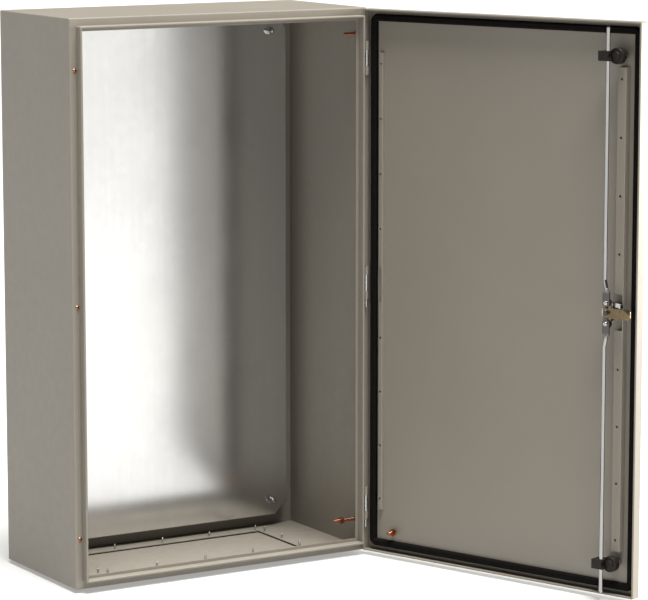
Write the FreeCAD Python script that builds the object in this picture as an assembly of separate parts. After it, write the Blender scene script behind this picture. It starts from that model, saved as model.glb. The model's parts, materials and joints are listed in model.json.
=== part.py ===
import FreeCAD, Part
import math
import os

# Wall-mounting sheet-steel enclosure with a hinged door that stands open, a foam door
# gasket, a rod lock and a galvanised mounting plate.  Millimetres.
#
# The parts are drawn in the enclosure frame: X to the right, Y to the back and Z up, with
# zero at the body's left, bottom corner on the front plane.  Door parts are drawn with the
# door shut and are then swung open about the hinge pins.  The written files have their
# origin at the centre of the four wall-fixing holes, on the rear face.

# Body -------------------------------------------------------------------------------------
WIDTH = 600.0
HEIGHT = 1000.0
BODY_DEPTH = 272.0
SHEET = 1.5
BEND_R = 2.5                # outside radius of every bend
GUTTER = 13.5               # rain gutter, from the outer side to the lip
LIP = 4.0                   # folded lip, doubled sheet
LIP_REACH = 16.5            # how far the lip stands in front of the gutter
MOUTH = 23.0                # from the outer side to the edge of the clear mouth

LIP_NOSE_R = 1.7

WALL_HOLE_R = 4.25
WALL_HOLE_INSET = 30.0
PLUG_R = 3.8                # plugs in the unused hinge holes
PLUG_DOME_R = 4.6
PLUG_STEM_R = 2.4
PLUG_STEM_END = 3.0
PLUG_BARB_R = 3.1

# Door -------------------------------------------------------------------------------------
DOOR_GAP = 8.0              # door rim to gutter, shut
DOOR_DEPTH = 20.0
DOOR_SIDE = 2.5             # door edge inside the body's side
DOOR_END = 1.5              # door edge inside the body's top and bottom
HEM = 6.0                   # the rim is folded inwards over this length
OPEN_ANGLE = 109.7
DOOR_BACK = -DOOR_GAP - DOOR_DEPTH
DOOR_FACE = DOOR_BACK + SHEET           # inner face of the shut door

GASKET_INSET = 11.0         # body side to the gasket's outer edge
GASKET_WIDTH = 13.0
GASKET_HEIGHT = 9.7
GASKET_OUTER_R = 12.0
GASKET_INNER_R = 4.0

# Hinges -----------------------------------------------------------------------------------
HINGE_X = 592.0
HINGE_Y = -11.0
HINGE_Z = (90.0, 500.0, 910.0)
KNUCKLE_R = 3.6
PIN_R = 2.0
PIN_PLAY = 0.05
KNUCKLE_HALF = 14.7         # half length of the body's middle knuckle
DOOR_KNUCKLE = (15.0, 30.0)
NOTCH_HALF = 16.0           # notch in the door's return round the body's knuckle
NOTCH_DEPTH = 5.0           # how far past the pin the notch goes
LEAF_T = 2.0
LEAF_REACH = 7.0
FOOT_T = 2.5
HINGE_SCREW_X = 590.5
HINGE_SCREW_R = 1.5
HINGE_SCREW_TIP = -6.0
HINGE_SCREW_HEAD = (3.0, 2.2)           # radius and height
PIN_END = 2.0               # thin end below the lower knuckle
PIN_GRIP_R = 2.4
PIN_GRIP = 13.0

# Rails inside the door --------------------------------------------------------------------
RAIL_Z = (80.0, 920.0)
HINGE_RAIL = (562.5, 571.0)
HINGE_RAIL_HEIGHT = 6.0
HINGE_RAIL_NOTCH = (465.0, 531.0)
LOCK_RAIL = (35.0, 53.0)
LOCK_RAIL_HEIGHT = 13.0
LOCK_RAIL_NOTCH = (468.0, 531.0)
RAIL_BEND_R = 1.3
RAIL_HOLE_R = 2.2
RAIL_HOLE_PITCH = 100.0

# Rod lock ---------------------------------------------------------------------------------
LOCK_X = 54.5
LOCK_Z = 500.0
HOUSING_R = 11.0
HOUSING_END = 27.0          # heights are above the door's inner face
HOUSING_FLANGE = (15.0, 3.0)            # radius and height
LOCK_NUT = (27.0, 6.0)                  # across flats and height
SPINDLE_R = 6.0
SPINDLE_PLAY = 0.05
SHOULDER_R = 9.0            # the spindle's shoulder under the cam
SQUARE = 4.0                # half the width of the square end that carries the cam
KEY_R = 4.2                 # corners of the three-cornered key end
KEY_HEIGHT = 7.5
RECESS = 9.0                # depth of the ring round the key end
BOLT_R = 2.5
BOLT_DEPTH = 10.0
BOLT_HEAD = (8.0, 3.5)
CAM_WASHER = (5.0, 1.2)                 # radius and height
CAM = (30.0, 33.0)
FLAT = (34.0, 37.0)
ROD_HEIGHT = 35.5
ROD_R = 3.5
ROD_X = 57.5
ROD_TIP = 491.0             # from the lock's centre
CRANK = 18.0                # pivot pins to the lock's centre
CRANK_PIN_R = 2.5
CRANK_HEAD = (4.0, 2.6)
FLAT_HALF = 7.0
FLAT_END = 40.0
FLAT_CORNER = 5.0
JOG = (44.0, 58.0)          # where the rod moves over from the lock's centre line
ROD_POINT = (3.0, 1.6)                  # length and depth of the tip's cone
ARM_HALF = 8.5              # the cam's cross arm
ARM_END = 25.0
ARM_CORNER = 6.0
TONGUE_HALF = 9.0
TONGUE_REACH = 47.0
TONGUE_CORNER = 5.0
CAM_SLOT = (12.0, 18.4)     # ends of the slot for a crank pin, from the centre
CAM_SLOT_HALF = 4.0
BEVEL_LENGTH = 15.0         # sloping corners on the outer face of the tongue
BEVEL_DROP = 2.0
RAMP_LENGTH = 14.0
RAMP_HEIGHT = 1.6
RAMP_WIDTH = 2.0
STOP_X = (27.5, 30.5)       # tab that the cam's tongue rests against
STOP_Z = (510.0, 516.0)
STOP_RING = (24.0, 26.0)
STOP_COLLAR_R = 15.0
GUIDE_X = 45.0
GUIDE_Z = 440.0             # from the lock's centre
GUIDE_R = 14.0
GUIDE_ARM_END = 74.0
GUIDE_ARM_HALF = 8.5
GUIDE_DISC = (18.0, 30.0)
SADDLE_TOP = 41.5           # the saddle covers the rod
SADDLE_SIDE = 6.0           # saddle beyond the rod's centre line, towards the disc
POST_R = 4.0
POST_SHOULDER_R = 7.0
POST_END = 1.8              # post above the disc
CAP = (8.0, 2.4)                        # radius and height
CAP_GAP = 0.3
CAP_SOCKET = 1.5

# Interior ---------------------------------------------------------------------------------
PLATE_INSET = 25.0
PLATE_FACE = 247.0
PLATE_T = 2.0
PLATE_CORNER = 25.0
PLATE_FIX_X = 60.0
PLATE_FIX_Z = 54.0
STUD_R = 4.0
STUD_TIP = 232.0
SPACER_R = 7.0
PLATE_WASHER = (8.0, 1.6)               # radius and height
PLATE_NUT = (13.0, 6.5)                 # across flats and height

GLAND_X = (98.0, 502.0)
GLAND_Y = (80.0, 228.0)
GLAND_RIM = 19.0            # plate edge beyond the opening
GLAND_SCREW_OFF = 8.0       # screws beyond the opening
GLAND_FOAM = 2.0
GLAND_SHEET = 2.0
GLAND_SCREW_R = 2.0
GLAND_SCREW_TIP = 11.5
GLAND_SCREW_POINT = 2.0
GLAND_SCREW_HEAD = (4.0, 2.4)

EARTH_R = 3.0
EARTH_FOOT = (5.0, 1.5)
EARTH_WASHER = (7.0, 1.5)
EARTH_NUT = (10.0, 5.0)
EARTH_Y = 37.0
EARTH_LOW = 50.5
EARTH_HIGH = 950.0
EARTH_LONG = 47.0           # lower stud
EARTH_SHORT = 25.0          # upper stud
EARTH_WASHER_OFF = 27.0     # the lower stud's washer, from the wall
DOOR_EARTH_X = 536.5
DOOR_EARTH_Z = 40.0
DOOR_EARTH_LENGTH = 20.0
DOOR_EARTH_WASHER_OFF = 6.0

FREE = 0.1                  # round hole over its screw, on the radius
THREAD = 0.05               # nut over its thread, on the radius
PAST = 1.0                  # how far a cutting tool runs past a face

X = FreeCAD.Vector(1, 0, 0)
Y = FreeCAD.Vector(0, 1, 0)
Z = FreeCAD.Vector(0, 0, 1)


# Helpers ----------------------------------------------------------------------------------
def vec(x, y, z):
    return FreeCAD.Vector(x, y, z)


def box(x, y, z):
    """A box from three (low, high) pairs."""
    return Part.makeBox(x[1] - x[0], y[1] - y[0], z[1] - z[0], vec(x[0], y[0], z[0]))


def cylinder(start, axis, radius, length):
    return Part.makeCylinder(radius, length, start, axis)


def tube(start, axis, outer, inner, length):
    return cylinder(start, axis, outer, length).cut(cylinder(start, axis, inner, length))


def hexagon(start, axis, across_flats, length):
    """A hexagonal prism along X, Y or -Y."""
    radius = across_flats / math.sqrt(3.0)
    turn = FreeCAD.Rotation(Z, axis)
    points = []
    for i in range(7):
        angle = math.radians(60.0 * i)
        corner = vec(radius * math.cos(angle), radius * math.sin(angle), 0)
        points.append(start + turn.multVec(corner))
    return Part.Face(Part.makePolygon(points)).extrude(axis * length)


def nut(start, axis, across_flats, bore, length):
    """A hexagonal nut with rounded corners on its outer end."""
    body = hexagon(start, axis, across_flats, length)
    cone = Part.makeCone(across_flats, across_flats * 0.52, length * 2.0, start - axis * length, axis)
    return body.common(cone).cut(cylinder(start, axis, bore, length))


def flange_screw(start, axis, shank_r, shank, head):
    """A screw whose rounded head starts at start and whose shank runs back from it."""
    radius, height = head
    top = cylinder(start, axis, radius, height)
    end = start + axis * height
    rim = [e for e in top.Edges if all(abs((v.Point - end).dot(axis)) < 0.01 for v in e.Vertexes)]
    top = top.makeFillet(min(height * 0.55, radius * 0.35), rim)
    return top.fuse(cylinder(start - axis * shank, axis, shank_r, shank))


def profile(points, low, high):
    """A plan outline in X and Z, extruded along Y from low to high."""
    corners = [vec(px, low, pz) for px, pz in points]
    return Part.Face(Part.makePolygon(corners + corners[:1])).extrude(Y * (high - low))


def edges_at_y(shape, y):
    return [e for e in shape.Edges if all(abs(v.Y - y) < 0.01 for v in e.Vertexes)]


def edges_along_y(shape):
    found = []
    for edge in shape.Edges:
        a, b = edge.Vertexes[0].Point, edge.Vertexes[-1].Point
        if abs(a.y - b.y) > 0.5 and abs(a.x - b.x) < 0.01 and abs(a.z - b.z) < 0.01:
            found.append(edge)
    return found


def frame(inset, width, low, high, outer_r, inner_r):
    """A rectangular ring parallel to the front plane, inset from the body's outline."""
    outer = inset_box(inset, low, high)
    outer = outer.makeFillet(outer_r, edges_along_y(outer))
    inner = inset_box(inset + width, low - 1, high + 1)
    inner = inner.makeFillet(inner_r, edges_along_y(inner))
    return outer.cut(inner)


def inset_box(inset, low, high):
    """A box whose four sides lie inside the body's outline by the inset."""
    return box((inset, WIDTH - inset), (low, high), (inset, HEIGHT - inset))


def door_box(inset, low, high):
    """A box whose four sides lie inside the door's outline by the inset."""
    side, end = DOOR_SIDE + inset, DOOR_END + inset
    return box((side, WIDTH - side), (low, high), (end, HEIGHT - end))


def above_door(height):
    """Y of a height above the shut door's inner face."""
    return DOOR_FACE + height


def swing(shape):
    """Turn a door part from shut to its open place."""
    shape = shape.copy()
    shape.rotate(vec(HINGE_X, HINGE_Y, 0), Z, OPEN_ANGLE)
    return shape


def save(name, *shapes):
    shape = shapes[0] if len(shapes) == 1 else Part.makeCompound(list(shapes))
    shape = shape.copy()
    shape.translate(vec(-WIDTH / 2, -BODY_DEPTH, -HEIGHT / 2))
    for solid in shape.Solids:
        if not solid.isValid():
            print("not valid:", name)
    print(f"{name:26s} solids {len(shape.Solids)}  volume {shape.Volume / 1000:.1f} cm3")
    shape.exportStep(f"parts/{name}.step")


def save_on_door(name, *shapes):
    save(name, *[swing(shape) for shape in shapes])


# Body -------------------------------------------------------------------------------------
def folded_body():
    """The whole body as bent sheet: walls, rear, gutter and inner flange."""
    outer = inset_box(0, 0, BODY_DEPTH)
    outer = outer.makeFillet(BEND_R, outer.Edges)
    inner = inset_box(SHEET, SHEET, BODY_DEPTH - SHEET)
    inner = inner.makeFillet(BEND_R - SHEET, edges_along_y(inner))
    return outer.cut(inner).cut(inset_box(MOUTH, -PAST, SHEET + PAST))


def mouth_lip():
    """The folded lip that stands round the mouth, on the gutter."""
    lip = inset_box(GUTTER, -LIP_REACH, 0)
    lip = lip.makeFillet(BEND_R, edges_along_y(lip))
    lip = lip.cut(inset_box(GUTTER + LIP, -LIP_REACH - PAST, PAST))
    return lip.makeFillet(LIP_NOSE_R, edges_at_y(lip, -LIP_REACH))


def wall_hole_places():
    sides = (WALL_HOLE_INSET, WIDTH - WALL_HOLE_INSET)
    ends = (WALL_HOLE_INSET, HEIGHT - WALL_HOLE_INSET)
    return [(px, pz) for px in sides for pz in ends]


def plate_fixing_places():
    sides = (PLATE_FIX_X, WIDTH - PLATE_FIX_X)
    ends = (PLATE_FIX_Z, HEIGHT - PLATE_FIX_Z)
    return [(px, pz) for px in sides for pz in ends]


def gland_screw_places():
    """Five screws along the front and the rear, three down each side."""
    front, rear = GLAND_Y[0] - GLAND_SCREW_OFF, GLAND_Y[1] + GLAND_SCREW_OFF
    left, right = GLAND_X[0] - GLAND_SCREW_OFF, GLAND_X[1] + GLAND_SCREW_OFF
    middle_x, middle_y = sum(GLAND_X) / 2, sum(GLAND_Y) / 2
    places = [(middle_x + 100.0 * i, py) for i in range(-2, 3) for py in (front, rear)]
    places += [(px, middle_y + 64.0 * i) for i in range(-1, 2) for px in (left, right)]
    return places


def body_panels():
    body = folded_body()
    seam = BODY_DEPTH - SHEET
    over = 5.0
    low, high, right, half = -over, HEIGHT + over, WIDTH + over, WIDTH / 2
    rear = body.common(box((low, right), (seam, BODY_DEPTH + PAST), (low, high)))
    for px, pz in wall_hole_places():
        rear = rear.cut(cylinder(vec(px, seam - PAST, pz), Y, WALL_HOLE_R, SHEET + 2 * PAST))
    save("rear_panel", rear)
    save("mouth_lip", mouth_lip())

    gutter = body.common(box((low, right), (-PAST, SHEET), (low, high)))
    for z in HINGE_Z:
        for px, radius in ((WIDTH - HINGE_SCREW_X, PLUG_STEM_R), (HINGE_SCREW_X, HINGE_SCREW_R)):
            gutter = gutter.cut(cylinder(vec(px, -PAST, z), Y, radius + FREE, SHEET + 2 * PAST))
    save("gutter_flange", gutter)

    corners = {
        "side_panel_left": [(low, low), (low, high), (half, HEIGHT - half), (half, half)],
        "side_panel_right": [(right, low), (right, high), (half, HEIGHT - half), (half, half)],
        "top_panel": [(low, high), (right, high), (half, HEIGHT - half)],
        "floor_panel": [(low, low), (right, low), (half, half)],
    }
    panels = {name: body.common(profile(points, SHEET, seam)) for name, points in corners.items()}
    floor = panels["floor_panel"].cut(box(GLAND_X, GLAND_Y, (-PAST, SHEET + PAST)))
    for px, py in gland_screw_places():
        floor = floor.cut(cylinder(vec(px, py, -PAST), Z, GLAND_SCREW_R + FREE, SHEET + 2 * PAST))
    panels["floor_panel"] = floor
    for name, panel in panels.items():
        save(name, panel)


def hinge_hole_plugs():
    """Domed plugs in the hinge holes of the side that carries no hinges."""
    plugs = []
    x = WIDTH - HINGE_SCREW_X
    sink = math.sqrt(PLUG_DOME_R**2 - PLUG_R**2)
    for z in HINGE_Z:
        ball = Part.makeSphere(PLUG_DOME_R, vec(x, sink, z))
        dome = ball.common(cylinder(vec(x, -PLUG_DOME_R, z), Y, PLUG_R, PLUG_DOME_R))
        stem = cylinder(vec(x, -PAST / 2, z), Y, PLUG_STEM_R, PLUG_STEM_END + PAST / 2)
        barb_start = SHEET + FREE
        barb_length = PLUG_STEM_END - barb_start
        barb = Part.makeCone(PLUG_BARB_R, PLUG_STEM_R, barb_length, vec(x, barb_start, z), Y)
        plugs.append(dome.fuse([stem, barb]))
    save("hinge_hole_plugs", *plugs)


# Interior ---------------------------------------------------------------------------------
def mounting_plate():
    low, right, top, cut = PLATE_INSET, WIDTH - PLATE_INSET, HEIGHT - PLATE_INSET, PLATE_CORNER
    outline = [
        (low + cut, low), (right - cut, low), (right, low + cut), (right, top - cut),
        (right - cut, top), (low + cut, top), (low, top - cut), (low, low + cut),
    ]
    plate = profile(outline, PLATE_FACE, PLATE_FACE + PLATE_T)
    for px, pz in plate_fixing_places():
        plate = plate.cut(cylinder(vec(px, PLATE_FACE - 1, pz), Y, STUD_R + 0.5, PLATE_T + 2))
    save("mounting_plate", plate)

    rear_face = BODY_DEPTH - SHEET
    back = PLATE_FACE + PLATE_T
    washer_r, washer_t = PLATE_WASHER
    across, nut_t = PLATE_NUT
    studs, spacers, washers, nuts = [], [], [], []
    for px, pz in plate_fixing_places():
        stud = cylinder(vec(px, STUD_TIP, pz), Y, STUD_R, rear_face - STUD_TIP)
        studs.append(stud.makeChamfer(0.8, edges_at_y(stud, STUD_TIP)))
        spacers.append(tube(vec(px, back, pz), Y, SPACER_R, STUD_R + FREE, rear_face - back))
        face = PLATE_FACE - washer_t
        washers.append(tube(vec(px, face, pz), Y, washer_r, STUD_R + FREE, washer_t))
        nuts.append(nut(vec(px, face, pz), -Y, across, STUD_R + THREAD, nut_t))
    save("plate_studs", *studs)
    save("plate_spacers", *spacers)
    save("plate_washers", *washers)
    save("plate_nuts", *nuts)


def gland_plate():
    x = (GLAND_X[0] - GLAND_RIM, GLAND_X[1] + GLAND_RIM)
    y = (GLAND_Y[0] - GLAND_RIM, GLAND_Y[1] + GLAND_RIM)
    top = -GLAND_FOAM
    bottom = top - GLAND_SHEET
    foam = box(x, y, (top, 0)).cut(box(GLAND_X, GLAND_Y, (top - PAST, PAST)))
    plate = box(x, y, (bottom, top))
    screws = []
    shank_end = GLAND_SCREW_TIP - GLAND_SCREW_POINT
    for px, py in gland_screw_places():
        hole = cylinder(vec(px, py, bottom - PAST), Z, GLAND_SCREW_R + FREE, -bottom + 2 * PAST)
        foam = foam.cut(hole)
        plate = plate.cut(hole)
        screw = flange_screw(
            vec(px, py, bottom), -Z, GLAND_SCREW_R, shank_end - bottom, GLAND_SCREW_HEAD
        )
        point = Part.makeCone(
            GLAND_SCREW_R, GLAND_SCREW_R * 0.3, GLAND_SCREW_POINT, vec(px, py, shank_end), Z
        )
        screws.append(screw.fuse(point))
    save("gland_gasket", foam)
    save("gland_plate", plate)
    save("gland_screws", *screws)


def earth_stud(start, axis, length):
    """A welded stud with a broad foot."""
    foot = Part.makeCone(EARTH_FOOT[0], EARTH_R, EARTH_FOOT[1], start, axis)
    bevel = EARTH_R / 3
    shank = cylinder(start, axis, EARTH_R, length - bevel)
    tip = Part.makeCone(EARTH_R, EARTH_R - bevel, bevel, start + axis * (length - bevel), axis)
    return foot.fuse([shank, tip])


def earth_hardware(start, axis):
    """A washer with a nut against it."""
    radius, thick = EARTH_WASHER
    across, height = EARTH_NUT
    washer = tube(start, axis, radius, EARTH_R + FREE, thick)
    return washer, nut(start + axis * thick, axis, across, EARTH_R + THREAD, height)


def body_earth_points():
    wall = WIDTH - SHEET
    save("earth_stud_lower", earth_stud(vec(wall, EARTH_Y, EARTH_LOW), -X, EARTH_LONG))
    save("earth_stud_upper", earth_stud(vec(wall, EARTH_Y, EARTH_HIGH), -X, EARTH_SHORT))
    washer, lock_nut = earth_hardware(vec(wall - EARTH_WASHER_OFF, EARTH_Y, EARTH_LOW), -X)
    save("earth_washer", washer)
    save("earth_nut", lock_nut)


# Hinges -----------------------------------------------------------------------------------
def hinges():
    names = ("lower", "middle", "upper")
    screws, pins = [], []
    for name, z in zip(names, HINGE_Z):
        span = (z - KNUCKLE_HALF, z + KNUCKLE_HALF)
        barrel = knuckle(span)
        leaf = box((HINGE_X - KNUCKLE_R, HINGE_X + 0.5), (HINGE_Y, 0), span)
        foot = box((HINGE_X - KNUCKLE_R, HINGE_X + FOOT_T), (-FOOT_T, 0), span)
        thread_start = vec(HINGE_SCREW_X, HINGE_SCREW_TIP - 0.5, z)
        thread = cylinder(thread_start, Y, HINGE_SCREW_R + THREAD, -HINGE_SCREW_TIP + PAST)
        save(f"body_hinge_{name}", barrel.fuse([leaf, foot]).cut(pin_bore(span)).cut(thread))

        head = vec(HINGE_SCREW_X, SHEET, z)
        screws.append(flange_screw(head, Y, HINGE_SCREW_R, SHEET - HINGE_SCREW_TIP, HINGE_SCREW_HEAD))

        save_on_door(f"door_hinge_{name}", door_hinge(z))
        pins.append(hinge_pin(z, z < HINGE_Z[-1]))
    save("hinge_screws", *screws)
    save_on_door("hinge_pins", *pins)


def knuckle(span):
    return cylinder(vec(HINGE_X, HINGE_Y, span[0]), Z, KNUCKLE_R, span[1] - span[0])


def pin_bore(span):
    start = vec(HINGE_X, HINGE_Y, span[0] - PAST)
    return cylinder(start, Z, PIN_R + PIN_PLAY, span[1] - span[0] + 2 * PAST)


def door_hinge(z):
    """Two knuckles on one leaf, welded inside the door's return."""
    face = WIDTH - DOOR_SIDE - SHEET
    near, far = DOOR_KNUCKLE
    reach = HINGE_Y - NOTCH_DEPTH - 0.5
    leaf = box((face - LEAF_T, face), (reach - LEAF_REACH, reach), (z - far, z + far))
    for low in (z + near, z - far):
        span = (low, low + far - near)
        arm = box((face - LEAF_T - 1.0, face), (reach - 1.0, HINGE_Y), span)
        leaf = leaf.fuse([knuckle(span), arm])
    return leaf.cut(pin_bore((z - far, z + far)))


def hinge_pin(z, long_end):
    """The pin, with the thick lower end that the lower two hinges have."""
    far = DOOR_KNUCKLE[1]
    low = z - far - PIN_END
    pin = cylinder(vec(HINGE_X, HINGE_Y, low), Z, PIN_R, z + far + 0.5 - low)
    if not long_end:
        return pin
    end = cylinder(vec(HINGE_X, HINGE_Y, low - PIN_GRIP), Z, PIN_GRIP_R, PIN_GRIP)
    rim = [e for e in end.Edges if e.Vertexes[0].Z < low - PIN_GRIP + 0.1]
    return pin.fuse(end.makeFillet(PIN_GRIP_R * 0.3, rim))


# Door -------------------------------------------------------------------------------------
def door_panel():
    """A tray: the front sheet, its four returns and the hem folded into their rim."""
    outer = door_box(0, DOOR_BACK, -DOOR_GAP)
    bends = edges_at_y(outer, DOOR_BACK) + edges_along_y(outer)
    outer = outer.makeFillet(BEND_R, bends)
    outer = outer.makeFillet(SHEET * 0.9, edges_at_y(outer, -DOOR_GAP))
    tray = door_box(SHEET, DOOR_FACE, -DOOR_GAP - HEM)
    tray = tray.makeFillet(BEND_R - SHEET, edges_at_y(tray, DOOR_FACE) + edges_along_y(tray))
    mouth = door_box(2 * SHEET, -DOOR_GAP - HEM - PAST, -DOOR_GAP + PAST)
    door = outer.cut(tray).cut(mouth)
    edge = WIDTH - DOOR_SIDE
    for z in HINGE_Z:
        far = DOOR_KNUCKLE[1] + 1.5
        inside = edge - 2 * SHEET - PAST
        hem = box((inside, edge - SHEET), (-DOOR_GAP - HEM - PAST, 0), (z - far, z + far))
        notch_y = (HINGE_Y - NOTCH_DEPTH, 0)
        notch = box((inside, edge + PAST), notch_y, (z - NOTCH_HALF, z + NOTCH_HALF))
        door = door.cut(hem).cut(notch)
    hole = cylinder(vec(LOCK_X, DOOR_BACK - PAST, LOCK_Z), Y, HOUSING_R + FREE, SHEET + 2 * PAST)
    save_on_door("door_panel", door.cut(hole))


def gasket():
    top = above_door(GASKET_HEIGHT)
    ring = frame(GASKET_INSET, GASKET_WIDTH, DOOR_FACE, top, GASKET_OUTER_R, GASKET_INNER_R)
    save_on_door("door_gasket", ring)


def rail(x, height):
    """A channel that is open towards the door."""
    outer = box(x, (DOOR_FACE, above_door(height)), RAIL_Z)
    bends = [e for e in edges_at_y(outer, above_door(height)) if e.Length > x[1] - x[0] + PAST]
    outer = outer.makeFillet(RAIL_BEND_R, bends)
    hollow = box((x[0] + SHEET, x[1] - SHEET), (DOOR_FACE, above_door(height - SHEET)), RAIL_Z)
    channel = outer.cut(hollow)
    middle = (x[0] + x[1]) / 2
    for i in range(1, 10):
        start = vec(middle, DOOR_FACE, RAIL_HOLE_PITCH * i)
        channel = channel.cut(cylinder(start, Y, RAIL_HOLE_R, height + PAST))
    return channel


def rails():
    for name, x, height, notch in (
        ("rail_hinge_side", HINGE_RAIL, HINGE_RAIL_HEIGHT, HINGE_RAIL_NOTCH),
        ("rail_lock_side", LOCK_RAIL, LOCK_RAIL_HEIGHT, LOCK_RAIL_NOTCH),
    ):
        gap_x = (x[0] + SHEET, x[1] + PAST)
        gap = box(gap_x, (DOOR_FACE - PAST, above_door(height + PAST)), notch)
        save_on_door(name, rail(x, height).cut(gap))


def door_earth_point():
    start = vec(DOOR_EARTH_X, DOOR_FACE, DOOR_EARTH_Z)
    save_on_door("door_earth_stud", earth_stud(start, Y, DOOR_EARTH_LENGTH))
    washer, lock_nut = earth_hardware(start + Y * DOOR_EARTH_WASHER_OFF, Y)
    save_on_door("door_earth_washer", washer)
    save_on_door("door_earth_nut", lock_nut)


# Lock -------------------------------------------------------------------------------------
def at_lock(height):
    return vec(LOCK_X, above_door(height), LOCK_Z)


def lock_body():
    """The fixed housing with its nut and the stop for the cam."""
    flange_r, flange_t = HOUSING_FLANGE
    front = DOOR_BACK - flange_t
    flange = cylinder(vec(LOCK_X, front, LOCK_Z), Y, flange_r, flange_t)
    flange = flange.makeFillet(flange_t / 2, edges_at_y(flange, front))
    barrel = cylinder(vec(LOCK_X, front, LOCK_Z), Y, HOUSING_R, above_door(HOUSING_END) - front)
    housing = flange.fuse(barrel).cut(spindle_bore(front - PAST, HOUSING_END + PAST))
    save_on_door("lock_housing", housing)
    across, height = LOCK_NUT
    save_on_door("lock_nut", nut(at_lock(0), Y, across, HOUSING_R + THREAD, height))

    low, high = above_door(STOP_RING[0]), above_door(STOP_RING[1])
    near, top = STOP_X[0], STOP_Z[1]
    strap = profile(
        [(LOCK_X - 6, 508.0), (LOCK_X - 8, 519.0), (near, top), (near, STOP_Z[0]), (LOCK_X - 14, 506.0)],
        low, high,
    )
    collar = cylinder(at_lock(STOP_RING[0]), Y, STOP_COLLAR_R, high - low)
    tab = box(STOP_X, (low, above_door(CAM[1])), STOP_Z)
    room = cylinder(at_lock(0), Y, HOUSING_R + THREAD, HOUSING_END)
    save_on_door("cam_stop", collar.fuse([strap, tab]).cut(room))


def spindle_bore(start_y, end_height):
    start = vec(LOCK_X, start_y, LOCK_Z)
    return cylinder(start, Y, SPINDLE_R + SPINDLE_PLAY, above_door(end_height) - start_y)


def lock_spindle():
    """The turning insert: a three-cornered key end outside, a square end inside."""
    start = DOOR_BACK - 2.0
    body = cylinder(vec(LOCK_X, start, LOCK_Z), Y, SPINDLE_R, above_door(HOUSING_END + 1) - start)
    ring = tube(vec(LOCK_X, start - PAST, LOCK_Z), Y, SPINDLE_R - 1.0, 0.5, RECESS)
    corners = []
    for i in range(4):
        angle = math.radians(90 + 120 * i)
        corners.append(vec(LOCK_X + KEY_R * math.cos(angle), start + 1, LOCK_Z + KEY_R * math.sin(angle)))
    key = Part.Face(Part.makePolygon(corners)).extrude(Y * KEY_HEIGHT)
    under = HOUSING_END + 0.3
    shoulder = cylinder(at_lock(under), Y, SHOULDER_R, CAM[0] - under)
    square = box(
        (LOCK_X - SQUARE, LOCK_X + SQUARE), (above_door(CAM[0] - 0.5), above_door(CAM[1])),
        (LOCK_Z - SQUARE, LOCK_Z + SQUARE),
    )
    thread = cylinder(at_lock(CAM[1] - BOLT_DEPTH - 2), Y, BOLT_R + THREAD, BOLT_DEPTH + 4)
    save_on_door("lock_insert", body.cut(ring).fuse([key, shoulder, square]).cut(thread))

    washer_r, washer_t = CAM_WASHER
    across, height = BOLT_HEAD
    save_on_door("cam_washer", tube(at_lock(CAM[1]), Y, washer_r, BOLT_R + FREE, washer_t))
    shank = cylinder(at_lock(CAM[1] - BOLT_DEPTH), Y, BOLT_R, BOLT_DEPTH + washer_t)
    save_on_door("cam_bolt", shank.fuse(hexagon(at_lock(CAM[1] + washer_t), Y, across, height)))


def cam_plate():
    """A cross arm with a slot for each rod's pin, and a tongue towards the door's edge."""
    span = (above_door(CAM[0]), above_door(CAM[1]))
    through = (span[0] - PAST, span[1] + PAST)
    arm = box((LOCK_X - ARM_HALF, LOCK_X + ARM_HALF), span, (LOCK_Z - ARM_END, LOCK_Z + ARM_END))
    arm = arm.makeFillet(ARM_CORNER, edges_along_y(arm))
    tip = LOCK_X - TONGUE_REACH
    tongue = box((tip, LOCK_X), span, (LOCK_Z - TONGUE_HALF, LOCK_Z + TONGUE_HALF))
    nose = [e for e in edges_along_y(tongue) if e.Vertexes[0].X < tip + PAST]
    cam = arm.fuse(tongue.makeFillet(TONGUE_CORNER, nose))
    for side in (-1, 1):
        cam = cam.fuse(tongue_ramp(side)).cut(tongue_bevel(side))
        ends = sorted(LOCK_Z + side * distance for distance in CAM_SLOT)
        slot = box((LOCK_X - CAM_SLOT_HALF, LOCK_X + CAM_SLOT_HALF), through, ends)
        for z in ends:
            start = vec(LOCK_X, through[0], z)
            slot = slot.fuse(cylinder(start, Y, CAM_SLOT_HALF, through[1] - through[0]))
        cam = cam.cut(slot)
    half = SQUARE + THREAD
    hole = box((LOCK_X - half, LOCK_X + half), through, (LOCK_Z - half, LOCK_Z + half))
    save_on_door("cam_plate", cam.cut(hole))


def tongue_bevel(side):
    """The wedge that is cut off one front corner of the tongue's outer face."""
    apex = vec(LOCK_X - TONGUE_REACH, above_door(CAM[1]), LOCK_Z)
    along = vec(-BEVEL_LENGTH, 0, -side * TONGUE_HALF).normalize()
    outward = Y.cross(along) * side
    start = apex - along * (BEVEL_LENGTH + TONGUE_HALF)
    deep = outward * TONGUE_HALF - Y * BEVEL_DROP
    outline = [start, start + deep, start + deep + Y * (BEVEL_DROP + PAST), start + Y * PAST, start]
    return Part.Face(Part.makePolygon(outline)).extrude(along * (BEVEL_LENGTH + 2 * TONGUE_HALF))


def tongue_ramp(side):
    """The sloping edge that rides onto the body's flange."""
    near = LOCK_X - TONGUE_REACH + TONGUE_CORNER
    face = above_door(CAM[0])
    edge = LOCK_Z + side * TONGUE_HALF
    start = vec(near + RAMP_LENGTH, face, edge)
    outline = [start, vec(near, face, edge), vec(near, face - RAMP_HEIGHT, edge), start]
    return Part.Face(Part.makePolygon(outline)).extrude(Z * (-side * RAMP_WIDTH))


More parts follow.
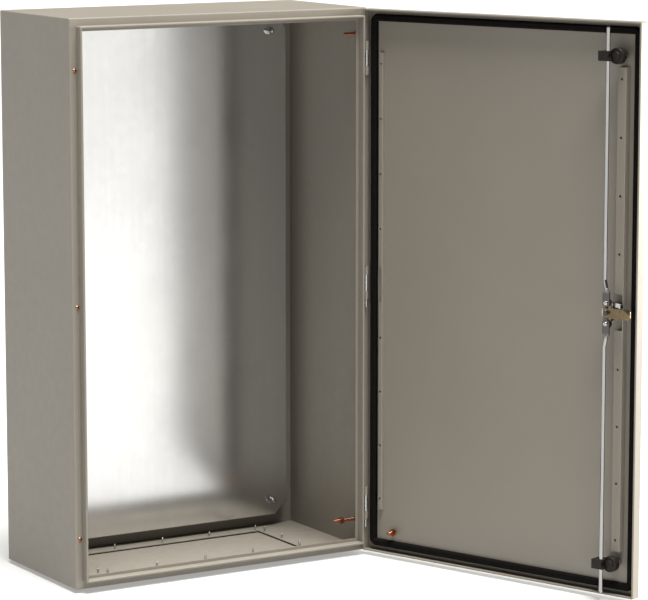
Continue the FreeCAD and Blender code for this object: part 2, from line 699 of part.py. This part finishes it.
def lock_rod(side):
    """One rod: a flattened end, a small jog and a rounded tip.  side is 1 up, -1 down."""
    def z(distance):
        return LOCK_Z + side * distance

    way = Z * side
    y = above_door(ROD_HEIGHT)
    low, high = above_door(FLAT[0]), above_door(FLAT[1])
    x = (LOCK_X - FLAT_HALF, LOCK_X + FLAT_HALF)
    flat = box(x, (low, high), sorted((z(CRANK - FLAT_HALF + 1), z(FLAT_END))))
    flat = flat.makeFillet(FLAT_CORNER, edges_along_y(flat))
    path = [vec(LOCK_X, y, z(FLAT_END - 5)), vec(LOCK_X, y, z(JOG[0])), vec(ROD_X, y, z(JOG[1]))]
    start = cylinder(path[0], way, ROD_R, (path[1] - path[0]).Length)
    slope = path[2] - path[1]
    jog = cylinder(path[1], slope, ROD_R, slope.Length)
    point, bevel = ROD_POINT
    straight = cylinder(path[2], way, ROD_R, ROD_TIP - JOG[1] - point)
    tip = Part.makeCone(ROD_R, ROD_R - bevel, point, vec(ROD_X, y, z(ROD_TIP - point)), way)
    balls = [Part.makeSphere(ROD_R, p) for p in path[1:]]
    rod = start.fuse([jog, straight, tip] + balls)
    hole = cylinder(vec(LOCK_X, low - PAST, z(CRANK)), Y, CRANK_PIN_R + THREAD, high - low + 2 * PAST)
    beside = sorted((z(0), z(FLAT_END - 2)))
    above = box(x, (high, high + ROD_R), beside)
    under = box(x, (low - ROD_R, low), beside)
    return rod.cut(above).cut(under).fuse(flat).cut(hole)


def crank_pin(side):
    radius, height = CRANK_HEAD
    under = vec(LOCK_X, above_door(FLAT[1]), LOCK_Z + side * CRANK)
    screw = flange_screw(under, Y, CRANK_PIN_R, FLAT[1] - CAM[0] + 1.0, CRANK_HEAD)
    slot = box(
        (LOCK_X - 0.5, LOCK_X + 0.5), (under.y + height - 1.0, under.y + height + PAST),
        (under.z - radius - PAST, under.z + radius + PAST),
    )
    return screw.cut(slot)


def guide_post(side):
    """The stud that the guide turns on, with a shoulder under it."""
    start = vec(GUIDE_X, DOOR_FACE, LOCK_Z + side * GUIDE_Z)
    shoulder = cylinder(start, Y, POST_SHOULDER_R, GUIDE_DISC[0] - CAP_GAP)
    return shoulder.fuse(cylinder(start, Y, POST_R, GUIDE_DISC[1] + POST_END))


def guide_cap(side):
    """The cap that keeps the guide on its post."""
    radius, height = CAP
    start = vec(GUIDE_X, above_door(GUIDE_DISC[1] + CAP_GAP), LOCK_Z + side * GUIDE_Z)
    cap = cylinder(start, Y, radius, height)
    cap = cap.makeFillet(CAP_SOCKET, edges_at_y(cap, start.y + height))
    return cap.cut(cylinder(start, Y, POST_R + THREAD, CAP_SOCKET))


def guide_arm(side):
    """A turning disc with a saddle that carries the rod."""
    centre = LOCK_Z + side * GUIDE_Z
    low, high = above_door(GUIDE_DISC[0]), above_door(GUIDE_DISC[1])
    disc = cylinder(vec(GUIDE_X, low, centre), Y, GUIDE_R, high - low)
    disc = disc.makeFillet(1.2, edges_at_y(disc, high))
    z = (centre - GUIDE_ARM_HALF, centre + GUIDE_ARM_HALF)
    rod_y = above_door(ROD_HEIGHT)
    top = above_door(SADDLE_TOP)
    saddle = box((ROD_X - SADDLE_SIDE, GUIDE_ARM_END), (low + 2.0, top), z)
    rounded = [e for e in edges_along_y(saddle) if e.Vertexes[0].X > GUIDE_ARM_END - PAST]
    saddle = saddle.makeFillet(1.5, rounded)
    web = box((GUIDE_X, ROD_X), (low + 2.0, high - 1.0), z)
    groove = cylinder(vec(ROD_X, rod_y, z[0] - PAST), Z, ROD_R + PIN_PLAY, z[1] - z[0] + 2 * PAST)
    bore = cylinder(vec(GUIDE_X, low - PAST, centre), Y, POST_R + PIN_PLAY, high - low + 2 * PAST)
    cap_room = cylinder(vec(GUIDE_X, high, centre), Y, CAP[0] + PAST, top - high + PAST)
    return disc.fuse([saddle, web]).cut(groove).cut(bore).cut(cap_room)


def rods_and_guides():
    for side, name in ((1, "upper"), (-1, "lower")):
        save_on_door(f"rod_{name}", lock_rod(side))
        save_on_door(f"rod_pin_{name}", crank_pin(side))
        save_on_door(f"guide_post_{name}", guide_post(side))
        save_on_door(f"guide_cap_{name}", guide_cap(side))
        save_on_door(f"guide_arm_{name}", guide_arm(side))


os.makedirs("parts", exist_ok=True)
body_panels()
hinge_hole_plugs()
mounting_plate()
gland_plate()
body_earth_points()
hinges()
door_panel()
gasket()
rails()
door_earth_point()
lock_body()
lock_spindle()
cam_plate()
rods_and_guides()
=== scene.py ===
import json
import math

import bmesh
import bpy
from mathutils import Matrix, Vector


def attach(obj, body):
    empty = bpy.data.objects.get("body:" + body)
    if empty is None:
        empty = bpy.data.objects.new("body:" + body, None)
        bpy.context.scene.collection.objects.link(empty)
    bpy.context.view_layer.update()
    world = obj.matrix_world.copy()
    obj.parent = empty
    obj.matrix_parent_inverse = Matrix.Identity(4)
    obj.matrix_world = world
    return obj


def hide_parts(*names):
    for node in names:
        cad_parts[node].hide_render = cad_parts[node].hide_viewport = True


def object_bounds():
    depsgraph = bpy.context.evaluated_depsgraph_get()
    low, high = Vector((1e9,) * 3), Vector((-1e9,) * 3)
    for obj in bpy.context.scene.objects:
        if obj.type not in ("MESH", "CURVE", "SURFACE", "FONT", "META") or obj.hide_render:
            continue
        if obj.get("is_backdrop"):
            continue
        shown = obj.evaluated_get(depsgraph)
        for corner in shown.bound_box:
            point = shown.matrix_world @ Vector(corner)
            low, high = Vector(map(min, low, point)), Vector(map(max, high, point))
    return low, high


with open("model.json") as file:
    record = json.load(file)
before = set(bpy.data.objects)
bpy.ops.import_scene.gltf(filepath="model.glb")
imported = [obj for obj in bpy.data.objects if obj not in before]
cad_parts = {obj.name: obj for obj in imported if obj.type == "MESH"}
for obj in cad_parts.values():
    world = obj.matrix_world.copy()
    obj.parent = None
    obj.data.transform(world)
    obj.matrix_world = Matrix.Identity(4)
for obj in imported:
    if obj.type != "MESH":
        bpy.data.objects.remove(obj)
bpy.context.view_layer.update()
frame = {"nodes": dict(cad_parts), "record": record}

# Sheet-steel enclosure with an open door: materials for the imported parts, and new pieces for
# the foam gaskets and the threaded studs.  Metres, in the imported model's frame.

MM = 0.001

# Enclosure frame: origin at the body's left, bottom corner on the front plane.
WIDTH, HEIGHT, DEPTH = 0.600, 1.000, 0.272
HINGE = Vector((0.592, -0.011, 0.0))
OPEN_ANGLE = math.radians(109.7)
DOOR_FACE = -0.0265
SHEET = 0.0015
WALL_INSIDE = WIDTH - SHEET
REAR_INSIDE = DEPTH - SHEET

# Door gasket: foam strip all round the door
GASKET_INSET, GASKET_WIDTH = 0.011, 0.013
GASKET_CORNER = 0.0072
# (distance from the outer edge, height above the door), in millimetres
GASKET_PROFILE = (
    (0.5, 0.0), (0.1, 1.2), (0.0, 3.4), (0.2, 5.6), (0.7, 7.3), (1.5, 8.6), (2.6, 9.4),
    (3.7, 9.6), (4.7, 9.3), (5.4, 8.8), (6.0, 8.7), (7.4, 8.7), (8.9, 8.4), (10.2, 7.8),
    (11.4, 6.8), (12.3, 5.4), (12.8, 3.6), (13.0, 1.4), (12.6, 0.0),
)

# Gland plate gasket, in the enclosure frame
GLAND_X, GLAND_Y, GLAND_RIM, GLAND_FOAM = (0.098, 0.502), (0.080, 0.228), 0.019, 0.002
GLAND_CORNER, GLAND_CHAMFER = 0.0098, 0.0005

# Earth studs, M6: the wall's two at one depth, (name, height, length), and the door's
EARTH_R, EARTH_PITCH, EARTH_FOOT = 0.003, 0.001, (0.005, 0.0015)
EARTH_Y = 0.037
EARTH_STUDS = (("lower", 0.0505, 0.047), ("upper", 0.950, 0.025))
DOOR_EARTH_X, DOOR_EARTH_Z, DOOR_EARTH_LENGTH = 0.5365, 0.040, 0.020

# Studs of the mounting plate, M8
PLATE_STUD_X, PLATE_STUD_Z, PLATE_STUD_TIP = (0.060, 0.540), (0.054, 0.946), 0.232
PLATE_STUD_R, PLATE_STUD_PITCH = 0.004, 0.00125

# Threads
GROOVE_SHARE = 0.42         # depth of the groove over the pitch
RINGS_PER_TURN, THREAD_SIDES = 6, 20
TIP_BEVEL = 0.0008

# Camera, at the photographed view's angle
CAMERA_AT = (-2.699, -5.041, 0.842)
CAMERA_YAW, CAMERA_PITCH = 31.373, -8.838
CAMERA_LENS, CAMERA_SENSOR = 173.27, 36.0

# Light levels
WORLD, KEY, SUN, FLOOR_GLOW = 0.12, 230.0, 8.2, 0.34
KEY_FROM, KEY_DISTANCE, KEY_SIZE = (0.88, -0.47, 0.12), 4.2, 1.6
SUN_FROM, SUN_SPREAD = (0.0, -0.27, 0.96), math.radians(30.0)
FLOOR_HALF, FLOOR_GAP = 60.0, 0.0002


# Places -----------------------------------------------------------------------------------
def placed(point):
    """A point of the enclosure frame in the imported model's frame."""
    return Vector(point) - Vector((WIDTH / 2, DEPTH, HEIGHT / 2))


def on_open_door(point):
    """A point drawn on the shut door, moved to where the open door has it."""
    turned = Matrix.Rotation(OPEN_ANGLE, 3, "Z") @ (Vector(point) - HINGE)
    return placed(turned + HINGE)


# Node helpers -----------------------------------------------------------------------------
class Shader:
    """A material with one principled shader and short ways to feed it."""

    def __init__(self, name, metallic=0.0, **sockets):
        self.material = bpy.data.materials.new(name)
        self.material.use_nodes = True
        self.tree = self.material.node_tree
        self.shader = self.tree.nodes["Principled BSDF"]
        self.shader.inputs["Metallic"].default_value = metallic
        for socket, value in sockets.items():
            self.shader.inputs[socket.replace("_", " ")].default_value = value
        self.place = self.tree.nodes.new("ShaderNodeTexCoord").outputs["Object"]

    def link(self, value, socket):
        if isinstance(value, (int, float)):
            socket.default_value = value
        elif isinstance(value, tuple):
            socket.default_value = value if len(value) == 4 else (*value, 1.0)
        else:
            self.tree.links.new(value, socket)

    def scaled(self, factors):
        """Object coordinates multiplied along each axis."""
        mapping = self.tree.nodes.new("ShaderNodeMapping")
        mapping.inputs["Scale"].default_value = factors
        self.link(self.place, mapping.inputs["Vector"])
        return mapping.outputs["Vector"]

    def noise(self, scale, detail=2.0, roughness=0.5, place=None, distortion=0.0):
        node = self.tree.nodes.new("ShaderNodeTexNoise")
        node.inputs["Scale"].default_value = scale
        node.inputs["Detail"].default_value = detail
        node.inputs["Roughness"].default_value = roughness
        node.inputs["Distortion"].default_value = distortion
        self.link(place or self.place, node.inputs["Vector"])
        return node.outputs["Fac"]

    def cells(self, scale, place=None, output="Color"):
        node = self.tree.nodes.new("ShaderNodeTexVoronoi")
        node.inputs["Scale"].default_value = scale
        self.link(place or self.place, node.inputs["Vector"])
        return node.outputs[output]

    def spread(self, value, low, high, start=0.3, end=0.7):
        """A value from start..end mapped onto low..high."""
        node = self.tree.nodes.new("ShaderNodeMapRange")
        self.link(value, node.inputs["Value"])
        for socket, number in zip(("From Min", "From Max", "To Min", "To Max"), (start, end, low, high)):
            node.inputs[socket].default_value = number
        return node.outputs["Result"]

    def mix(self, factor, first, second):
        node = self.tree.nodes.new("ShaderNodeMix")
        node.data_type = "RGBA"
        self.link(factor, node.inputs["Factor"])
        self.link(first, node.inputs[6])
        self.link(second, node.inputs[7])
        return node.outputs[2]

    def colour(self, value):
        self.link(value, self.shader.inputs["Base Color"])

    def rough(self, value):
        self.link(value, self.shader.inputs["Roughness"])

    def bump(self, height, distance, strength=1.0):
        """Bumps of the given height in metres; each call adds to the ones before."""
        node = self.tree.nodes.new("ShaderNodeBump")
        node.inputs["Strength"].default_value = strength
        node.inputs["Distance"].default_value = distance
        self.link(height, node.inputs["Height"])
        normal = self.shader.inputs["Normal"]
        if normal.is_linked:
            self.tree.links.new(normal.links[0].from_socket, node.inputs["Normal"])
        self.link(node.outputs["Normal"], normal)


# Materials --------------------------------------------------------------------------------
def paint():
    """Light grey powder coat: fine orange peel, faint mottling, slightly uneven gloss."""
    s = Shader("powder_coat", Specular_IOR_Level=0.5)
    mottle = s.spread(s.noise(5.0, 4.0), 0.0, 1.0)
    grain = s.spread(s.noise(900.0, 3.0), 0.0, 1.0)
    tone = s.mix(mottle, (0.220, 0.199, 0.165), (0.233, 0.211, 0.176))
    s.colour(s.mix(s.spread(grain, 0.0, 0.16, 0.0, 1.0), tone, (0.185, 0.167, 0.139)))
    s.rough(s.spread(s.noise(60.0, 4.0), 0.40, 0.50))
    s.bump(s.noise(420.0, 2.0), 0.00010, 0.35)
    s.bump(grain, 0.00003, 0.5)
    return s.material


def galvanised():
    """Zinc-coated sheet: soft mirror, faint spangle and rolling streaks."""
    s = Shader("galvanised_sheet", 1.0)
    split = s.tree.nodes.new("ShaderNodeSeparateColor")
    s.link(s.cells(70.0), split.inputs["Color"])
    streak = s.noise(1.0, 2.0, place=s.scaled((150.0, 150.0, 2.5)))
    cloud = s.noise(6.0, 1.0)
    tone = s.mix(split.outputs["Red"], (0.700, 0.702, 0.705), (0.730, 0.732, 0.733))
    s.colour(s.mix(s.spread(streak, 0.0, 0.6), tone, (0.680, 0.680, 0.678)))
    add = s.tree.nodes.new("ShaderNodeMath")
    s.link(s.spread(split.outputs["Green"], -0.006, 0.006, 0.0, 1.0), add.inputs[0])
    s.link(s.spread(cloud, 0.165, 0.195), add.inputs[1])
    s.rough(add.outputs[0])
    return s.material


def plated(name, light, dark, rough, scale=300.0, streaks=(1.0, 1.0, 1.0)):
    """Plated or bare metal with fine patches and scratches."""
    s = Shader(name, 1.0)
    patch = s.spread(s.noise(scale, 4.0), 0.0, 1.0)
    scratch = s.noise(1.0, 2.0, place=s.scaled(tuple(900.0 * f for f in streaks)))
    s.colour(s.mix(patch, light, dark))
    s.rough(s.spread(scratch, rough[0], rough[1]))
    s.bump(scratch, 0.00002, 0.4)
    return s.material


def drawn_rod():
    """Bright drawn steel rod whose flattened ends are dull and dark."""
    s = Shader("drawn_steel", 1.0)
    split = s.tree.nodes.new("ShaderNodeSeparateXYZ")
    s.link(s.place, split.inputs["Vector"])
    away = s.tree.nodes.new("ShaderNodeMath")
    away.operation = "ABSOLUTE"
    s.link(split.outputs["Z"], away.inputs[0])
    dull = s.spread(away.outputs[0], 1.0, 0.0, 0.034, 0.046)
    scratch = s.noise(1.0, 3.0, place=s.scaled((1500.0, 1500.0, 30.0)))
    bright = s.mix(s.spread(scratch, 0.0, 1.0), (0.40, 0.40, 0.40), (0.31, 0.31, 0.31))
    s.colour(s.mix(dull, bright, (0.13, 0.125, 0.12)))
    s.rough(s.spread(dull, 0.10, 0.42, 0.0, 1.0))
    s.bump(scratch, 0.00002, 0.4)
    return s.material


def brass():
    """Dull yellow passivated steel with darker patches."""
    s = Shader("yellow_passivated", 1.0)
    patch = s.spread(s.noise(160.0, 4.0, distortion=0.6), 0.0, 1.0)
    s.colour(s.mix(patch, (0.21, 0.16, 0.095), (0.13, 0.10, 0.062)))
    s.rough(s.spread(s.noise(500.0, 3.0), 0.28, 0.42))
    s.bump(s.noise(700.0, 2.0), 0.00003, 0.5)
    return s.material


def foam():
    """Matt black closed-cell foam with fine pores and a faint skin."""
    s = Shader("black_foam", Specular_IOR_Level=0.08)
    pores = s.cells(1300.0, output="Distance")
    patch = s.spread(s.noise(120.0, 4.0), 0.0, 1.0)
    s.colour(s.mix(patch, (0.0026, 0.0022, 0.0020), (0.0048, 0.0042, 0.0038)))
    s.rough(s.spread(s.noise(220.0, 3.0), 0.62, 0.82))
    s.bump(pores, 0.00022, 0.6)
    s.bump(s.noise(300.0, 3.0), 0.00018, 0.4)
    return s.material


def plastic():
    """Moulded black nylon with a fine eroded texture."""
    s = Shader("black_nylon", Specular_IOR_Level=0.22)
    patch = s.spread(s.noise(90.0, 3.0), 0.0, 1.0)
    s.colour(s.mix(patch, (0.0095, 0.0070, 0.0060), (0.0150, 0.0115, 0.0095)))
    s.rough(s.spread(s.noise(400.0, 3.0), 0.38, 0.52))
    s.bump(s.noise(1400.0, 2.0), 0.00004, 0.6)
    return s.material


MATERIALS = {
    "paint": paint(),
    "galvanised": galvanised(),
    "zinc": plated("bright_zinc", (0.52, 0.52, 0.51), (0.40, 0.40, 0.405), (0.18, 0.30)),
    "polished_rod": drawn_rod(),
    "blackened": plated("oiled_steel", (0.10, 0.10, 0.11), (0.06, 0.06, 0.065), (0.30, 0.42)),
    "cam_brass": brass(),
    "copper": plated("copper_plate", (0.42, 0.17, 0.10), (0.27, 0.10, 0.06), (0.24, 0.38)),
    "foam": foam(),
    "black_plastic": plastic(),
    "die_cast": plated("die_cast_zinc", (0.56, 0.56, 0.57), (0.46, 0.46, 0.47), (0.30, 0.44)),
}
for part in frame["record"]["subparts"]:
    frame["nodes"][part["node"]].data.materials[0] = MATERIALS[part["material_slot"]]


# Meshes -----------------------------------------------------------------------------------
def piece(name, verts, faces, slot, body, replaced):
    """A new mesh piece with its material, its body and the CAD node it stands for."""
    mesh = bpy.data.meshes.new(name)
    mesh.from_pydata([tuple(v) for v in verts], [], faces)
    mesh.materials.append(MATERIALS[slot])
    tidy = bmesh.new()
    tidy.from_mesh(mesh)
    bmesh.ops.recalc_face_normals(tidy, faces=tidy.faces)
    tidy.to_mesh(mesh)
    tidy.free()
    mesh.shade_smooth()
    obj = bpy.data.objects.new(name, mesh)
    bpy.context.scene.collection.objects.link(obj)
    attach(obj, body)
    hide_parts(*replaced)
    return obj


def rectangle_path(low, high, corner, steps=6):
    """Points round a rounded rectangle, each with its outward normal."""
    points = []
    centres = (
        (high[0] - corner, high[1] - corner, 0), (low[0] + corner, high[1] - corner, 90),
        (low[0] + corner, low[1] + corner, 180), (high[0] - corner, low[1] + corner, 270),
    )
    for u, v, start in centres:
        for i in range(steps + 1):
            angle = math.radians(start + 90.0 * i / steps)
            normal = (math.cos(angle), math.sin(angle))
            points.append(((u + corner * normal[0], v + corner * normal[1]), normal))
    return points


def densified(points, longest):
    """The same closed path with long straight runs divided."""
    result = []
    for (here, normal), (there, _) in zip(points, points[1:] + points[:1]):
        result.append((here, normal))
        gap = math.dist(here, there)
        count = int(gap / longest)
        flat = ((there[1] - here[1]) / gap, -(there[0] - here[0]) / gap) if gap > 1e-9 else normal
        for i in range(1, count):
            t = i / count
            place = tuple(a + (b - a) * t for a, b in zip(here, there))
            result.append((place, flat))
    return result


def ring_mesh(path, profile):
    """Vertices (u, v, height) and faces of a closed ring; profile gives (outward, height)."""
    verts, faces = [], []
    count = len(profile)
    for (u, v), (nu, nv) in path:
        verts += [(u + nu * out, v + nv * out, up) for out, up in profile]
    for i in range(len(path)):
        a, b = i * count, (i + 1) % len(path) * count
        for j in range(count):
            k = (j + 1) % count
            faces.append((a + j, b + j, b + k, a + k))
    return verts, faces


def door_gasket():
    inner = GASKET_INSET + GASKET_WIDTH / 2
    path = rectangle_path((inner, inner), (WIDTH - inner, HEIGHT - inner), GASKET_CORNER)
    path = densified(path, 0.02)
    profile = [(GASKET_WIDTH / 2 - d * MM, h * MM) for d, h in GASKET_PROFILE]
    verts, faces = ring_mesh(path, profile)
    verts = [on_open_door((u, DOOR_FACE + up, v)) for u, v, up in verts]
    obj = piece("foam_gasket", verts, faces, "foam", "door", ["door_gasket"])


def gland_foam():
    """The thin foam under the floor, squeezed a little round at its edges."""
    half = GLAND_RIM / 2
    low = (GLAND_X[0] - half, GLAND_Y[0] - half)
    high = (GLAND_X[1] + half, GLAND_Y[1] + half)
    path = densified(rectangle_path(low, high, GLAND_CORNER), 0.03)
    edge = half - GLAND_CHAMFER
    profile = [
        (-edge, -GLAND_FOAM), (-half, -GLAND_FOAM * 0.7), (-half, -GLAND_FOAM * 0.3), (-edge, 0),
        (edge, 0), (half, -GLAND_FOAM * 0.3), (half, -GLAND_FOAM * 0.7), (edge, -GLAND_FOAM),
    ]
    verts, faces = ring_mesh(path, profile)
    verts = [placed((u, v, up)) for u, v, up in verts]
    obj = piece("gland_foam", verts, faces, "foam", "box", ["gland_gasket"])


def threaded(start, end, radius, pitch, foot=(0.0, 0.0)):
    """A threaded rod from start to end.  foot gives the radius and height of a welded base."""
    start, end = Vector(start), Vector(end)
    axis = (end - start).normalized()
    side = axis.orthogonal().normalized()
    other = axis.cross(side)
    length = (end - start).length
    depth = pitch * GROOVE_SHARE
    steps = int(length / pitch * RINGS_PER_TURN)
    sides = THREAD_SIDES
    foot_radius, foot_height = foot
    verts, faces = [], []
    for i in range(steps + 1):
        along = length * i / steps
        for j in range(sides):
            angle = 2 * math.pi * j / sides
            turn = (along / pitch - j / sides) % 1.0
            groove = depth * (1.0 - abs(2.0 * turn - 1.0))
            r = radius - groove
            if foot_height and along < foot_height * 2.2:
                swell = max(0.0, 1.0 - along / foot_height)
                r = max(radius - depth * 0.2, radius + (foot_radius - radius) * swell**1.6)
            r = min(r, radius - TIP_BEVEL + (length - along))
            spoke = side * math.cos(angle) + other * math.sin(angle)
            verts.append(start + axis * along + spoke * r)
    for i in range(steps):
        a, b = i * sides, (i + 1) * sides
        for j in range(sides):
            k = (j + 1) % sides
            faces.append((a + j, a + k, b + k, b + j))
    faces.append(tuple(range(sides)))
    faces.append(tuple(steps * sides + j for j in range(sides)))
    return verts, faces


def merged(parts):
    verts, faces = [], []
    for part_verts, part_faces in parts:
        offset = len(verts)
        verts += part_verts
        faces += [tuple(i + offset for i in face) for face in part_faces]
    return verts, faces


def earth_stud(start, end):
    return threaded(start, end, EARTH_R, EARTH_PITCH, EARTH_FOOT)


def studs():
    for name, z, length in EARTH_STUDS:
        wall, tip = (placed((x, EARTH_Y, z)) for x in (WALL_INSIDE, WALL_INSIDE - length))
        rod = earth_stud(wall, tip)
        piece(f"threaded_earth_stud_{name}", *rod, "copper", "box", [f"earth_stud_{name}"])
    foot, tip = (
        on_open_door((DOOR_EARTH_X, y, DOOR_EARTH_Z))
        for y in (DOOR_FACE, DOOR_FACE + DOOR_EARTH_LENGTH)
    )
    piece("threaded_door_earth_stud", *earth_stud(foot, tip), "copper", "door", ["door_earth_stud"])
    rods = [
        threaded(
            placed((x, REAR_INSIDE, z)), placed((x, PLATE_STUD_TIP, z)), PLATE_STUD_R, PLATE_STUD_PITCH
        )
        for x in PLATE_STUD_X for z in PLATE_STUD_Z
    ]
    piece("threaded_plate_studs", *merged(rods), "zinc", "box", ["plate_studs"])


door_gasket()
gland_foam()
studs()


# Stage ------------------------------------------------------------------------------------
def floor():
    low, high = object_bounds()
    middle = (low + high) / 2
    verts = [
        (middle.x + sx * FLOOR_HALF, middle.y + sy * FLOOR_HALF, low.z - FLOOR_GAP)
        for sx, sy in ((-1, -1), (1, -1), (1, 1), (-1, 1))
    ]
    mesh = bpy.data.meshes.new("floor")
    mesh.from_pydata(verts, [], [(0, 1, 2, 3)])
    s = Shader("studio_floor", Specular_IOR_Level=0.2)
    s.colour(s.mix(s.spread(s.noise(0.8, 3.0), 0.0, 1.0), (0.40, 0.40, 0.395), (0.42, 0.42, 0.415)))
    s.rough(0.7)
    s.shader.inputs["Emission Color"].default_value = (1.0, 0.99, 0.97, 1.0)
    s.shader.inputs["Emission Strength"].default_value = FLOOR_GLOW
    mesh.materials.append(s.material)
    obj = bpy.data.objects.new("floor", mesh)
    bpy.context.scene.collection.objects.link(obj)
    obj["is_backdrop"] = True


def area_light(name, direction, distance, size, power, colour):
    """A square light that faces the frame's origin."""
    light = bpy.data.lights.new(name, "AREA")
    light.shape, light.size, light.energy, light.color = "SQUARE", size, power, colour
    obj = bpy.data.objects.new(name, light)
    way = Vector(direction).normalized()
    obj.location = way * distance
    obj.rotation_mode = "QUATERNION"
    obj.rotation_quaternion = way.to_track_quat("Z", "Y")
    bpy.context.scene.collection.objects.link(obj)


def lights():
    world = bpy.data.worlds.new("studio")
    bpy.context.scene.world = world
    world.use_nodes = True
    background = world.node_tree.nodes["Background"]
    background.inputs["Color"].default_value = (1.0, 0.985, 0.96, 1.0)
    background.inputs["Strength"].default_value = WORLD
    area_light("key", KEY_FROM, KEY_DISTANCE, KEY_SIZE, KEY, (1.0, 0.965, 0.90))
    sun = bpy.data.lights.new("overhead", "SUN")
    sun.energy, sun.angle, sun.color = SUN, SUN_SPREAD, (1.0, 0.99, 0.97)
    obj = bpy.data.objects.new("overhead", sun)
    obj.rotation_mode = "QUATERNION"
    obj.rotation_quaternion = Vector(SUN_FROM).to_track_quat("Z", "Y")
    bpy.context.scene.collection.objects.link(obj)


def camera():
    data = bpy.data.cameras.new("camera")
    data.lens, data.sensor_width, data.sensor_fit = CAMERA_LENS, CAMERA_SENSOR, "HORIZONTAL"
    data.clip_start, data.clip_end = 0.1, 200.0
    obj = bpy.data.objects.new("camera", data)
    obj.location = CAMERA_AT
    obj.rotation_euler = (math.radians(90.0 + CAMERA_PITCH), 0.0, math.radians(-CAMERA_YAW))
    bpy.context.scene.collection.objects.link(obj)
    bpy.context.scene.camera = obj


floor()
lights()
camera()
bpy.context.scene.view_settings.view_transform = "Standard"
